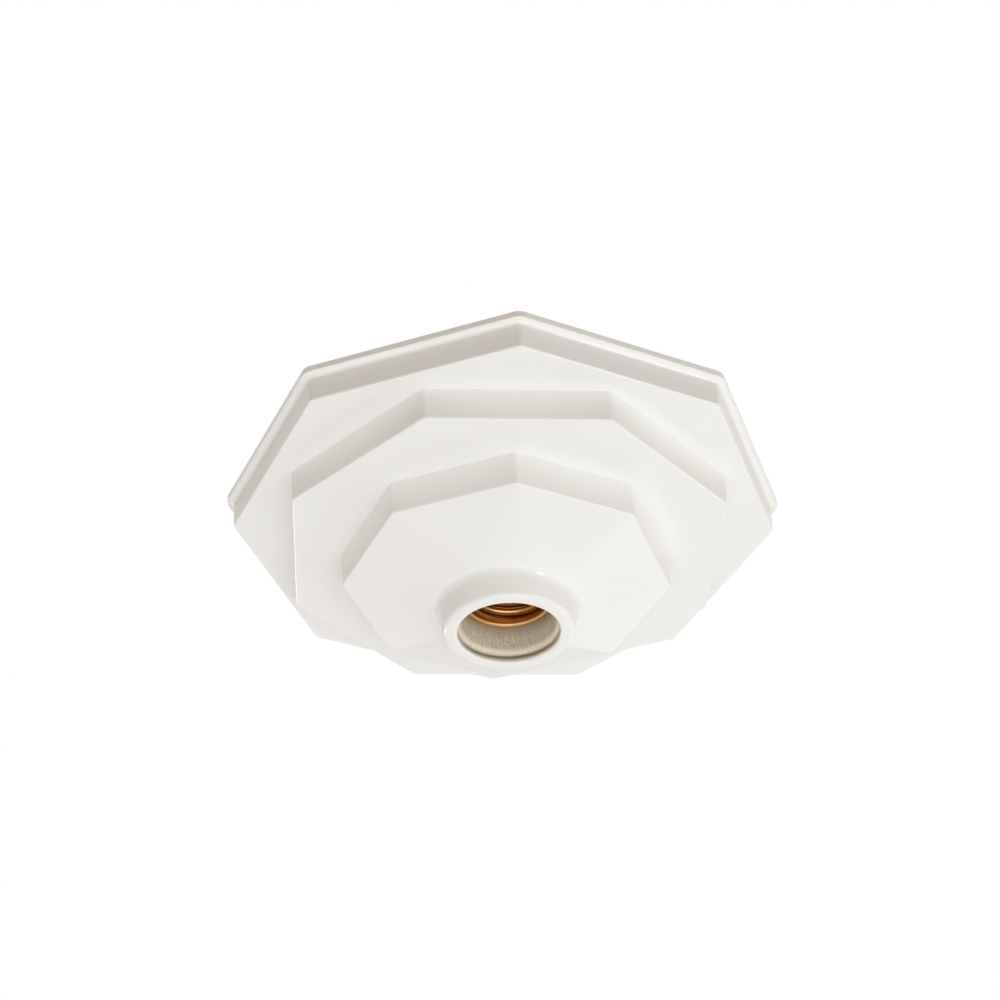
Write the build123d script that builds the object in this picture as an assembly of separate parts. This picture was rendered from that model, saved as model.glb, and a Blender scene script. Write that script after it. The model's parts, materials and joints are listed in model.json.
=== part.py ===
"""Ceiling lamp holder: a stepped octagonal canopy with a porcelain Edison-screw holder in its collar.

Millimetres. The origin is the centre of the ceiling plane and +Z points up into the ceiling, so the
part hangs at negative Z. One corner of the octagonal flange points to -Y.
"""
from build123d import *
import os
from math import cos, radians, tan

os.makedirs("parts", exist_ok=True)

# Canopy, one moulding: a flange, three tiers, a slope from octagon to round and a tapered collar.
# A terrace is as wide as stated where a corner of the tier on it points at a side of its outline.
SIDES = 8
FLANGE_CORNER_R = 89.0
FLANGE_HEIGHT = 2.2
FLANGE_LEDGE = 2.3
TIER_1_HEIGHT = 9.5
TIER_1_TERRACE = 7.03
TIER_2_HEIGHT = 11.2
TIER_2_TERRACE = 14.85
TIER_3_HEIGHT = 11.5
SLOPE_HEIGHT = 9.3
COLLAR_HEIGHT = 9.0
COLLAR_SPREAD = 1.7
COLLAR_COVE = 5.0
COLLAR_FOOT = 2.6
COLLAR_FOOT_STEEPNESS = 0.62
NECK_WALL = 1.75
LIP_THICKNESS = 1.8
LIP_ROUNDING = 1.6
MOUTH_MARGIN = 1.3
MOUTH_ROUNDING = 0.9
WALL = 2.2
DRAFT_DEG = 2.0
CORNER_ROUNDING = 2.6
EDGE_ROUNDING = 0.7
FLANGE_CORNER_ROUNDING = 4.5
FLANGE_ROUNDING = 0.3
FLANGE_COVE_SHARE = 0.65

# Bosses and ribs inside the canopy
BOSS_R = 3.8
BOSS_GAP = 2.3
RIB_THICKNESS = 1.6
RIB_SETBACK = 4.0

# Edison thread of 27 mm and its rolled brass shell
THREAD_MINOR_R = 12.15
THREAD_DEPTH = 1.1
THREAD_PITCH = 3.629
THREAD_TURNS = 5
THREAD_FLAT_SHARE = 0.2
SHELL_SHEET = 0.4
SHELL_CLEARANCE = 0.95
SHELL_RIM_GAP = 0.1
SHELL_RIM_HEIGHT = 2.0
SHELL_FOOT_HEIGHT = 3.2
SHELL_FLOOR_HOLE_R = 6.9
SHELL_NOTCH_WIDTH = 11.0

# Porcelain body
PORCELAIN_WALL = 3.6
PORCELAIN_RIM_ROUNDING = 1.7
PORCELAIN_CHAMFER = 1.0
COLLAR_CLEARANCE = 0.15
LIP_GAP = 1.2
SHELL_RECESS = 10.0
NECK_LENGTH = 29.7
BLOCK_HEIGHT = 14.0
BLOCK_MARGIN = 3.3
EAR_R = 6.5
EAR_THICKNESS = 7.0
POCKET_DEPTH = 3.5
POCKET_MARGIN = 0.8
CHANNEL_DEPTH = 2.0
CHANNEL_MARGIN = 1.0

# Centre contact, a sprung leaf in a channel of the socket floor
LEAF_WIDTH = 7.0
LEAF_SHEET = 0.5
LEAF_ROOT_LENGTH = 7.5
LEAF_RISE = 5.6
LEAF_RUN = 6.8
LEAF_CURL_RUN = 3.4
LEAF_CURL_DROP = 1.5
LEAF_BEND_R = 1.4

# Terminals
FLOOR_SCREW_CIRCLE_R = 9.5
SHELL_SCREW_SPREAD_DEG = 42.0
TERMINAL_SCREW_Y = 15.2
TERMINAL_PLATE = 1.2
TERMINAL_END_MARGIN = 4.4
TERMINAL_SIDE_MARGIN = 3.2
TERMINAL_ROUNDING = 1.2
CLAMP_SIDE = 8.4
CLAMP_THICKNESS = 0.9
CLAMP_ROUNDING = 1.0

# Fasteners: shank radius, head radius and head height of each kind
FLOOR_SCREW_R = 1.45
FLOOR_SCREW_HEAD_R = 2.3
FLOOR_SCREW_HEAD_HEIGHT = 1.6
TERMINAL_SCREW_R = 1.95
TERMINAL_SCREW_HEAD_R = 3.4
TERMINAL_SCREW_HEAD_HEIGHT = 2.3
TERMINAL_SCREW_LENGTH = 5.0
TAPPING_SCREW_R = 1.8
TAPPING_SCREW_HEAD_R = 3.5
TAPPING_SCREW_HEAD_HEIGHT = 2.2
TAPPING_SCREW_LENGTH = 15.0
TAPPING_SCREW_POINT = 2.6
TAPPING_SCREW_TIP_R = 0.3
END_CHAMFER = 0.4
HEAD_CROWN_SHARE = 0.6
HEAD_EDGE_SHARE = 0.35
DRIVE_SHARE = 0.45
DRIVE_SLOT_WIDTH = 0.8
CROSS_SHARE = 0.9
WASHER_R = 5.0
WASHER_THICKNESS = 0.8
THREAD_CLEARANCE = 0.05
HOLE_CLEARANCE = 0.3

# Mounting bar with two keyholes for the screws of a ceiling box
BAR_WIDTH = 24.0
BAR_SHEET = 1.2
BAR_END_MARGIN = 6.5
BAR_JOGGLE = 2.8
BAR_JOGGLE_RUN = 2.8
BAR_BEND_R = 1.4
BAR_CORNER_R = 5.0
BOX_SCREW_CIRCLE = 69.85
KEYHOLE_ENTRY_R = 4.6
KEYHOLE_SLOT_R = 2.3
KEYHOLE_TURN_DEG = 14.0

# Below this, two levels are the same; cutters run past a face by OVERRUN
TOLERANCE = 1e-4
OVERRUN = 1.0

# What follows from the driving sizes
HALF_SIDE_DEG = 180 / SIDES
FLAT = cos(radians(HALF_SIDE_DEG))
TIER_1_BASE_R = FLANGE_CORNER_R - FLANGE_LEDGE
TIER_1_CORNER_R = TIER_1_BASE_R - TIER_1_HEIGHT * tan(radians(DRAFT_DEG)) / FLAT
TIER_2_BASE_R = TIER_1_CORNER_R * FLAT - TIER_1_TERRACE
TIER_2_CORNER_R = TIER_2_BASE_R - TIER_2_HEIGHT * tan(radians(DRAFT_DEG)) / FLAT
TIER_3_BASE_R = TIER_2_CORNER_R * FLAT - TIER_2_TERRACE
TIER_3_CORNER_R = TIER_3_BASE_R - TIER_3_HEIGHT * tan(radians(DRAFT_DEG)) / FLAT
TIER_1_TOP = -FLANGE_HEIGHT
TIER_2_TOP = TIER_1_TOP - TIER_1_HEIGHT
TIER_3_TOP = TIER_2_TOP - TIER_2_HEIGHT
SLOPE_TOP = TIER_3_TOP - TIER_3_HEIGHT
COLLAR_TOP = SLOPE_TOP - SLOPE_HEIGHT
END_Z = COLLAR_TOP - COLLAR_HEIGHT

SOCKET_BORE_R = THREAD_MINOR_R + THREAD_DEPTH + SHELL_SHEET + SHELL_CLEARANCE
PORCELAIN_R = SOCKET_BORE_R + PORCELAIN_WALL
COLLAR_BORE_R = PORCELAIN_R + COLLAR_CLEARANCE
NECK_R = COLLAR_BORE_R + NECK_WALL
COLLAR_BASE_R = NECK_R + COLLAR_SPREAD
MOUTH_R = SOCKET_BORE_R + MOUTH_MARGIN
BLOCK_R = PORCELAIN_R + BLOCK_MARGIN

FRONT_Z = END_Z + LIP_THICKNESS + LIP_GAP
SEAT_Z = FRONT_Z + NECK_LENGTH
BACK_Z = SEAT_Z + BLOCK_HEIGHT
EAR_Z = SEAT_Z + EAR_THICKNESS
SHELL_RIM_Z = FRONT_Z + SHELL_RECESS
FLOOR_Z = SHELL_RIM_Z + SHELL_RIM_HEIGHT + THREAD_TURNS * THREAD_PITCH + SHELL_FOOT_HEIGHT
CHANNEL_Z = FLOOR_Z + CHANNEL_DEPTH
POCKET_Z = BACK_Z - POCKET_DEPTH
PLATE_TOP_Z = POCKET_Z + TERMINAL_PLATE
CLAMP_TOP_Z = PLATE_TOP_Z + CLAMP_THICKNESS
EAR_X = COLLAR_BORE_R + BOSS_GAP + BOSS_R

TERRACE_INNER_X = TIER_3_CORNER_R - WALL / FLAT
TERRACE_OUTER_X = TIER_2_CORNER_R * FLAT - WALL
BAR_SCREW_X = (TERRACE_INNER_X + TERRACE_OUTER_X) / 2
BAR_LENGTH = 2 * (BAR_SCREW_X + BAR_END_MARGIN)
BAR_END_Z = -BAR_JOGGLE - BAR_SHEET
KEYHOLE_CIRCLE_R = BOX_SCREW_CIRCLE / 2

SHELL_SCREW_PLACES = [
    Pos(PolarLocations(FLOOR_SCREW_CIRCLE_R, 1, 90 + turn).locations[0].position)
    for turn in (-SHELL_SCREW_SPREAD_DEG, SHELL_SCREW_SPREAD_DEG)
]
SHELL_SCREW_Y = SHELL_SCREW_PLACES[0].position.Y
SHELL_SCREW_X = SHELL_SCREW_PLACES[0].position.X
CONTACT_SCREW_PLACE = Pos(0, -FLOOR_SCREW_CIRCLE_R, 0)
SHELL_PLATE_WIDTH = 2 * (SHELL_SCREW_X + TERMINAL_SIDE_MARGIN)
CONTACT_PLATE_WIDTH = CLAMP_SIDE + TERMINAL_SIDE_MARGIN
LEAF_ROOT_Y = -FLOOR_SCREW_CIRCLE_R - FLOOR_SCREW_HEAD_R
LEAF_BEND_Y = LEAF_ROOT_Y + LEAF_ROOT_LENGTH


def octagon(corner_r, turned, rounding):
    """Rounded octagon outline; turned puts a flat side, not a corner, towards -Y."""
    outline = RegularPolygon(corner_r, SIDES, rotation=HALF_SIDE_DEG if turned else 0)
    return fillet(outline.vertices(), rounding)


def drafted_tier(base_corner_r, top_z, height, turned):
    """Octagonal block that narrows downwards by the draft."""
    base = Pos(0, 0, top_z) * octagon(base_corner_r, turned, CORNER_ROUNDING)
    return extrude(base, amount=height, dir=(0, 0, -1), taper=DRAFT_DEG)


def frustum(top_corner_r, top_z, low_corner_r, low_z, turned):
    """Octagonal frustum with flat facets and sharp corners."""
    start = HALF_SIDE_DEG if turned else 0
    rings = []
    for corner_r, level in ((top_corner_r, top_z), (low_corner_r, low_z)):
        places = PolarLocations(corner_r, SIDES, start)
        rings.append([Vector(place.position.X, place.position.Y, level) for place in places])
    top, low = rings
    facets = [[top[corner - 1], top[corner], low[corner], low[corner - 1]] for corner in range(SIDES)]
    return Solid(Shell([Face(Wire.make_polygon(outline)) for outline in rings + facets]))


def octagon_to_round(outline, radius, low_z):
    """Smooth slope from a rounded octagon down to a circle: flat triangles between ruled fans."""
    faces = [outline]
    ring = []
    for edge in outline.edges():
        middle = edge @ 0.5
        outward = Vector(middle.X, middle.Y, 0).normalized()
        if edge.geom_type == GeomType.LINE:
            tip = outward * radius + Vector(0, 0, low_z)
            faces.append(Face(Wire.make_polygon([edge @ 0, edge @ 1, tip])))
        else:
            turn = Vector(1, 0, 0).get_signed_angle(outward, Vector(0, 0, 1))
            half = HALF_SIDE_DEG if outward.cross(edge @ 1 - edge @ 0).Z > 0 else -HALF_SIDE_DEG
            arc = CenterArc((0, 0, low_z), radius, turn - half, 2 * half)
            faces.append(Face.make_surface_from_curves(edge1=edge, edge2=arc))
            ring.append(arc)
    return Solid(Shell(faces + [Face(Wire(ring))]))


def turned_solid(outline):
    """Solid of revolution about Z from a closed outline of radius and height."""
    return revolve(Plane.XZ * make_face(outline), axis=Axis.Z)


def strip(path, width, thickness):
    """Sheet-metal strip of the given section along a line of straight runs and bends."""
    section = Plane(path @ 0, x_dir=(path % 0).cross(Vector(0, 0, 1)), z_dir=path % 0)
    return sweep(section * Rectangle(width, thickness), path=path)


def canopy_envelope():
    """Outside of the canopy, still filled, with its edges and the cove at its flange rounded."""
    flange_outline = octagon(FLANGE_CORNER_R, False, FLANGE_CORNER_ROUNDING)
    flange = extrude(flange_outline, amount=FLANGE_HEIGHT, dir=(0, 0, -1))
    flange = fillet(flange.faces().sort_by(Axis.Z)[0].edges(), FLANGE_ROUNDING)
    tiers = [
        drafted_tier(TIER_1_BASE_R, TIER_1_TOP, TIER_1_HEIGHT, False),
        drafted_tier(TIER_2_BASE_R, TIER_2_TOP, TIER_2_HEIGHT, True),
        drafted_tier(TIER_3_BASE_R, TIER_3_TOP, TIER_3_HEIGHT, False),
    ]
    tiers[2] += octagon_to_round(tiers[2].faces().sort_by(Axis.Z)[0], COLLAR_BASE_R, COLLAR_TOP)
    body = flange + fillet(level_edges(tiers[0], TIER_2_TOP, TIER_1_BASE_R), EDGE_ROUNDING)
    body = fillet(level_edges(body, TIER_1_TOP, TIER_1_BASE_R), FLANGE_COVE_SHARE * FLANGE_LEDGE)
    body += fillet(level_edges(tiers[1], TIER_3_TOP, TIER_2_BASE_R), EDGE_ROUNDING)
    return body + fillet(level_edges(tiers[2], SLOPE_TOP, TIER_3_BASE_R), EDGE_ROUNDING)


def level_edges(body, level, corner_r):
    """Edges at one level that lie within an octagon's corner circle, where a tier meets its terrace."""
    near = []
    for edge in body.edges():
        box = edge.bounding_box()
        flat = abs(box.min.Z - level) < TOLERANCE and abs(box.max.Z - level) < TOLERANCE
        if flat and max(Vector(end.X, end.Y).length for end in (edge @ 0, edge @ 1)) < corner_r:
            near.append(edge)
    return near


def collar():
    """Round collar below the slope: a cove, a taper to a rounded lip, and the lip turned in at the mouth."""
    root_z = COLLAR_TOP + WALL / 2
    foot_z = COLLAR_TOP + COLLAR_FOOT * COLLAR_FOOT_STEEPNESS
    lip_z = END_Z + LIP_THICKNESS
    outline = make_face(
        Polyline(
            (COLLAR_BORE_R, root_z),
            (COLLAR_BASE_R + COLLAR_FOOT, foot_z),
            (COLLAR_BASE_R, COLLAR_TOP),
            (NECK_R, END_Z),
            (MOUTH_R, END_Z),
            (MOUTH_R, lip_z),
            (COLLAR_BORE_R, lip_z),
            close=True,
        )
    )
    for corner, rounding in (
        ((COLLAR_BASE_R, COLLAR_TOP), COLLAR_COVE),
        ((NECK_R, END_Z), LIP_ROUNDING),
        ((MOUTH_R, END_Z), MOUTH_ROUNDING),
    ):
        outline = fillet(outline.vertices().sort_by_distance(corner)[0], rounding)
    return revolve(Plane.XZ * outline, axis=Axis.Z)


def canopy_hollow():
    """Inside of the canopy: the same steps, one wall smaller, down to the collar's bore."""
    hollow = Part()
    top_z = 0
    for corner_r, low_z, turned in (
        (TIER_1_CORNER_R, TIER_2_TOP, False),
        (TIER_2_CORNER_R, TIER_3_TOP, True),
        (TIER_3_CORNER_R, SLOPE_TOP, False),
    ):
        inner_r = corner_r - WALL / FLAT
        inner_low_z = low_z + WALL
        spread = (top_z - inner_low_z) * tan(radians(DRAFT_DEG)) / FLAT
        hollow += frustum(inner_r + spread, top_z, inner_r, inner_low_z, turned)
        top_z = inner_low_z
    return hollow + frustum(inner_r, top_z, COLLAR_BORE_R, COLLAR_TOP + WALL, False)


def canopy():
    """The moulding: envelope less hollow, with bosses and ribs for the holder and the bar."""
    envelope = canopy_envelope()
    inside = Part()
    pilots = Part()
    rib_low_z = TIER_3_TOP + WALL - OVERRUN
    for side in (-1, 1):
        holder_boss = post(side * EAR_X, BOSS_R, END_Z, SEAT_Z)
        bar_boss = post(side * BAR_SCREW_X, BOSS_R, TIER_3_TOP, BAR_END_Z)
        holder_rib = rib(side * EAR_X, side * TIER_3_CORNER_R, COLLAR_TOP, SEAT_Z - RIB_SETBACK)
        bar_rib = rib(side * BAR_SCREW_X, side * TIER_2_CORNER_R, rib_low_z, TIER_2_TOP + WALL - RIB_SETBACK)
        inside += holder_boss + bar_boss + holder_rib + bar_rib
        pilots += pilot(side * EAR_X, EAR_Z + WASHER_THICKNESS)
        pilots += pilot(side * BAR_SCREW_X, -BAR_JOGGLE)
    shell = envelope - canopy_hollow() + (inside & envelope) - pilots
    shell -= post(0, COLLAR_BORE_R, END_Z, SLOPE_TOP)
    return shell + collar()


def post(x, radius, low_z, high_z):
    """Upright cylinder on the X axis between two levels."""
    return extrude(Pos(x, 0, low_z) * Circle(radius), amount=high_z - low_z)


def rib(x_from, x_to, low_z, high_z):
    """Upright web along the X axis between two places and two levels."""
    middle = Pos((x_from + x_to) / 2, 0, (low_z + high_z) / 2)
    return middle * Box(abs(x_to - x_from), RIB_THICKNESS, high_z - low_z)


def pilot(x, head_z):
    """Hole for a tapping screw whose head seats at head_z."""
    low_z = head_z - TAPPING_SCREW_LENGTH - OVERRUN
    return post(x, TAPPING_SCREW_R + THREAD_CLEARANCE, low_z, head_z)


def porcelain_body():
    """Porcelain: socket neck, back block, two ears, terminal pockets and the contact's channel."""
    outline = make_face(
        Polyline(
            (SOCKET_BORE_R, FRONT_Z),
            (PORCELAIN_R, FRONT_Z),
            (PORCELAIN_R, SEAT_Z),
            (BLOCK_R, SEAT_Z),
            (BLOCK_R, BACK_Z),
            (0, BACK_Z),
            (0, FLOOR_Z),
            (SOCKET_BORE_R, FLOOR_Z),
            close=True,
        )
    )
    rim = [v for v in outline.vertices() if abs(v.Y - FRONT_Z) < TOLERANCE]
    outline = fillet(rim, PORCELAIN_RIM_ROUNDING)
    shoulder = outline.vertices().sort_by_distance((BLOCK_R, BACK_Z))[0]
    outline = chamfer(shoulder, PORCELAIN_CHAMFER)
    body = revolve(Plane.XZ * outline, axis=Axis.Z)
    ears = extrude(Pos(0, 0, SEAT_Z) * SlotCenterToCenter(2 * EAR_X, 2 * EAR_R), amount=EAR_THICKNESS)
    body += ears - post(0, PORCELAIN_R, SEAT_Z, EAR_Z)
    for side in (-1, 1):
        body -= post(side * EAR_X, TAPPING_SCREW_R + HOLE_CLEARANCE, SEAT_Z - OVERRUN, EAR_Z + OVERRUN)
        body -= post(side * EAR_X, WASHER_R + HOLE_CLEARANCE, EAR_Z, BACK_Z + OVERRUN)
    body -= terminal_pocket(SHELL_PLATE_WIDTH, SHELL_SCREW_Y, 1)
    body -= terminal_pocket(CONTACT_PLATE_WIDTH, FLOOR_SCREW_CIRCLE_R, -1)
    body -= contact_channel()
    through = post(0, FLOOR_SCREW_R + HOLE_CLEARANCE, FLOOR_Z - OVERRUN, POCKET_Z + OVERRUN)
    for place in SHELL_SCREW_PLACES + [CONTACT_SCREW_PLACE]:
        body -= place * through
    relief_z = CLAMP_TOP_Z - TERMINAL_SCREW_LENGTH - OVERRUN
    relief = post(0, TERMINAL_SCREW_R + HOLE_CLEARANCE, relief_z, POCKET_Z + OVERRUN)
    for side in (-1, 1):
        body -= Pos(0, side * TERMINAL_SCREW_Y, 0) * relief
    return body


def terminal_pocket(plate_width, screw_y, side):
    """Recess in the back for a terminal plate, open to the side where the wire comes in."""
    inner_y = screw_y - TERMINAL_SIDE_MARGIN - POCKET_MARGIN
    outer_y = BLOCK_R + OVERRUN
    depth = POCKET_DEPTH + OVERRUN
    centre = Pos(0, side * (inner_y + outer_y) / 2, POCKET_Z + depth / 2)
    return centre * Box(plate_width + 2 * POCKET_MARGIN, outer_y - inner_y, depth)


def contact_channel():
    """Trough in the socket floor under the centre contact."""
    near_y = LEAF_ROOT_Y - CHANNEL_MARGIN
    far_y = LEAF_BEND_Y + LEAF_RUN + LEAF_CURL_RUN + CHANNEL_MARGIN
    depth = CHANNEL_DEPTH + OVERRUN
    centre = Pos(0, (near_y + far_y) / 2, CHANNEL_Z - depth / 2)
    return centre * Box(LEAF_WIDTH + 2 * CHANNEL_MARGIN, far_y - near_y, depth)


def screw_shell():
    """Rolled brass shell: flared rim, thread waves and a floor with a notch for the contact."""
    middle_r = THREAD_MINOR_R + THREAD_DEPTH / 2
    rim_r = SOCKET_BORE_R - SHELL_RIM_GAP - SHELL_SHEET
    thread_z = SHELL_RIM_Z + SHELL_RIM_HEIGHT
    foot_z = thread_z + THREAD_TURNS * THREAD_PITCH
    inner = [(rim_r, SHELL_RIM_Z), (middle_r, thread_z)]
    flat = THREAD_PITCH * THREAD_FLAT_SHARE / 2
    for step in range(2 * THREAD_TURNS):
        middle_z = thread_z + (step + 0.5) * THREAD_PITCH / 2
        wave_r = THREAD_MINOR_R + THREAD_DEPTH * (step % 2)
        inner += [(wave_r, middle_z - flat), (wave_r, middle_z + flat)]
    inner.append((middle_r, foot_z))
    outer = [(radius + SHELL_SHEET, level) for radius, level in inner]
    floor_z = FLOOR_Z - SHELL_SHEET
    foot = [
        (middle_r, floor_z),
        (SHELL_FLOOR_HOLE_R, floor_z),
        (SHELL_FLOOR_HOLE_R, FLOOR_Z),
        (middle_r + SHELL_SHEET, FLOOR_Z),
    ]
    shell = turned_solid(Polyline(*inner, *foot, *reversed(outer), close=True))
    notch_depth = middle_r
    notch = Pos(0, -notch_depth / 2, FLOOR_Z) * Box(SHELL_NOTCH_WIDTH, notch_depth, 2 * SHELL_FOOT_HEIGHT)
    shell -= notch & post(0, middle_r, FLOOR_Z - SHELL_FOOT_HEIGHT, FLOOR_Z + OVERRUN)
    hole = post(0, FLOOR_SCREW_R + HOLE_CLEARANCE, floor_z - OVERRUN, FLOOR_Z + OVERRUN)
    for place in SHELL_SCREW_PLACES:
        shell -= place * hole
    return shell


def centre_contact():
    """Bronze leaf: a root under its screw, a rise through the shell's floor and a curled tip."""
    root_z = CHANNEL_Z - LEAF_SHEET / 2
    peak_y = LEAF_BEND_Y + LEAF_RUN
    peak_z = root_z - LEAF_RISE
    line = FilletPolyline(
        (LEAF_ROOT_Y, root_z),
        (LEAF_BEND_Y, root_z),
        (peak_y, peak_z),
        (peak_y + LEAF_CURL_RUN, peak_z + LEAF_CURL_DROP),
        radius=LEAF_BEND_R,
    )
    leaf = strip(Plane.YZ * line, LEAF_WIDTH, LEAF_SHEET)
    hole = CONTACT_SCREW_PLACE * post(0, FLOOR_SCREW_R + HOLE_CLEARANCE, FLOOR_Z, CHANNEL_Z + OVERRUN)
    return leaf - hole


def terminal_plate(width, inner_y, side, screw_places):
    """Brass plate in a pocket of the porcelain, tapped for its floor screws and its wire screw."""
    outer_y = TERMINAL_SCREW_Y + TERMINAL_END_MARGIN
    start_y = inner_y - TERMINAL_SIDE_MARGIN
    outline = Pos(0, side * (start_y + outer_y) / 2) * Rectangle(width, outer_y - start_y)
    outline = fillet(outline.vertices(), TERMINAL_ROUNDING)
    outline -= Pos(0, side * TERMINAL_SCREW_Y) * Circle(TERMINAL_SCREW_R + THREAD_CLEARANCE)
    for place in screw_places:
        outline -= place * Circle(FLOOR_SCREW_R + THREAD_CLEARANCE)
    return extrude(Pos(0, 0, POCKET_Z) * outline, amount=TERMINAL_PLATE)


def clamp_washer(side):
    """Square washer that presses the wire on a terminal plate."""
    outline = fillet(Rectangle(CLAMP_SIDE, CLAMP_SIDE).vertices(), CLAMP_ROUNDING)
    outline -= Circle(TERMINAL_SCREW_R + THREAD_CLEARANCE)
    return Pos(0, side * TERMINAL_SCREW_Y, PLATE_TOP_Z) * extrude(outline, amount=CLAMP_THICKNESS)


def screw(shank_r, length, head_r, head_height, tip_r, tip_length, crossed):
    """Pan-head screw along Z with its head's seat at zero and its shank below."""
    crown_r = head_r * HEAD_CROWN_SHARE
    outline = Polyline(
        (0, head_height),
        (0, -length),
        (tip_r, -length),
        (shank_r, -length + tip_length),
        (shank_r, 0),
        (head_r, 0),
        (head_r, head_height * HEAD_EDGE_SHARE),
        (crown_r, head_height),
        close=True,
    )
    depth = head_height * DRIVE_SHARE
    reach = crown_r * CROSS_SHARE if crossed else head_r
    slot = Pos(0, 0, head_height - depth / 2) * Box(2 * reach, DRIVE_SLOT_WIDTH, depth)
    if crossed:
        slot = slot + Rot(0, 0, 90) * slot
    return turned_solid(outline) - slot


def tapping_screw(x, head_z):
    """Pointed screw with a cross recess, driven down into a boss of the canopy."""
    body = screw(
        TAPPING_SCREW_R,
        TAPPING_SCREW_LENGTH,
        TAPPING_SCREW_HEAD_R,
        TAPPING_SCREW_HEAD_HEIGHT,
        TAPPING_SCREW_TIP_R,
        TAPPING_SCREW_POINT,
        True,
    )
    return Pos(x, 0, head_z) * body


def machine_screw(shank_r, length, head_r, head_height):
    """Slotted screw with a chamfered end."""
    return screw(shank_r, length, head_r, head_height, shank_r - END_CHAMFER, END_CHAMFER, False)


def floor_screw(place, seat_z):
    """Slotted screw with its head in the socket and its end in a terminal plate."""
    length = PLATE_TOP_Z - seat_z
    body = machine_screw(FLOOR_SCREW_R, length, FLOOR_SCREW_HEAD_R, FLOOR_SCREW_HEAD_HEIGHT)
    return place * Pos(0, 0, seat_z) * Rot(180, 0, 0) * body


def terminal_screw(side):
    """Slotted wire screw with its head towards the ceiling."""
    body = machine_screw(
        TERMINAL_SCREW_R, TERMINAL_SCREW_LENGTH, TERMINAL_SCREW_HEAD_R, TERMINAL_SCREW_HEAD_HEIGHT
    )
    return Pos(0, side * TERMINAL_SCREW_Y, CLAMP_TOP_Z) * body


def fibre_washer(side):
    """Fibre washer between a holder screw's head and the porcelain's ear."""
    ring = Circle(WASHER_R) - Circle(TAPPING_SCREW_R + HOLE_CLEARANCE)
    return Pos(side * EAR_X, 0, EAR_Z) * extrude(ring, amount=WASHER_THICKNESS)


def mounting_bar():
    """Steel strip: flush with the ceiling in the middle, stepped down to the bosses at its ends."""
    middle_z = -BAR_SHEET / 2
    end_z = middle_z - BAR_JOGGLE
    step_x = BAR_SCREW_X - BAR_END_MARGIN
    half = BAR_LENGTH / 2
    line = FilletPolyline(
        (-half, end_z),
        (-step_x, end_z),
        (-step_x + BAR_JOGGLE_RUN, middle_z),
        (step_x - BAR_JOGGLE_RUN, middle_z),
        (step_x, end_z),
        (half, end_z),
        radius=BAR_BEND_R,
    )
    bar = strip(Plane.XZ * line, BAR_WIDTH, BAR_SHEET)
    corners = [e for e in bar.edges().filter_by(Axis.Z) if abs(abs(e.center().X) - half) < TOLERANCE]
    bar = fillet(corners, BAR_CORNER_R)
    keyhole = extrude(Pos(0, 0, -BAR_SHEET - OVERRUN) * keyhole_outline(), amount=BAR_SHEET + 2 * OVERRUN)
    for side in (-1, 1):
        bar -= post(side * BAR_SCREW_X, TAPPING_SCREW_R + HOLE_CLEARANCE, BAR_END_Z - OVERRUN, 0)
        bar -= Rot(0, 0, 90 - side * 90) * keyhole
    return bar


def keyhole_outline():
    """Entry hole and curved slot, side by side on the circle of the box screws."""
    half_turn = KEYHOLE_TURN_DEG / 2
    entry = PolarLocations(KEYHOLE_CIRCLE_R, 1, half_turn).locations[0]
    arc = CenterArc((0, 0), KEYHOLE_CIRCLE_R, -half_turn, KEYHOLE_TURN_DEG)
    return entry * Circle(KEYHOLE_ENTRY_R) + SlotArc(arc, 2 * KEYHOLE_SLOT_R)


nodes = {
    "canopy": canopy(),
    "porcelain_body": porcelain_body(),
    "screw_shell": screw_shell(),
    "centre_contact": centre_contact(),
    "shell_terminal": terminal_plate(SHELL_PLATE_WIDTH, SHELL_SCREW_Y, 1, SHELL_SCREW_PLACES),
    "contact_terminal": terminal_plate(CONTACT_PLATE_WIDTH, FLOOR_SCREW_CIRCLE_R, -1, [CONTACT_SCREW_PLACE]),
    "shell_screw_left": floor_screw(SHELL_SCREW_PLACES[1], FLOOR_Z - SHELL_SHEET),
    "shell_screw_right": floor_screw(SHELL_SCREW_PLACES[0], FLOOR_Z - SHELL_SHEET),
    "contact_screw": floor_screw(CONTACT_SCREW_PLACE, CHANNEL_Z - LEAF_SHEET),
    "shell_wire_screw": terminal_screw(1),
    "contact_wire_screw": terminal_screw(-1),
    "shell_clamp_washer": clamp_washer(1),
    "contact_clamp_washer": clamp_washer(-1),
    "mounting_bar": mounting_bar(),
}
for name, side in (("left", -1), ("right", 1)):
    nodes[f"holder_screw_{name}"] = tapping_screw(side * EAR_X, EAR_Z + WASHER_THICKNESS)
    nodes[f"holder_washer_{name}"] = fibre_washer(side)
    nodes[f"bar_screw_{name}"] = tapping_screw(side * BAR_SCREW_X, -BAR_JOGGLE)

for name, solid in nodes.items():
    export_step(solid, f"parts/{name}.step")
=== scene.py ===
"""Ceiling lamp holder: the finish of each piece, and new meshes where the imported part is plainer.

Metres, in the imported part's own frame: +Z points up into the ceiling and the socket opens towards -Z.
"""
import json
import math

import bmesh
import bpy
from mathutils import Matrix, Vector


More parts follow.
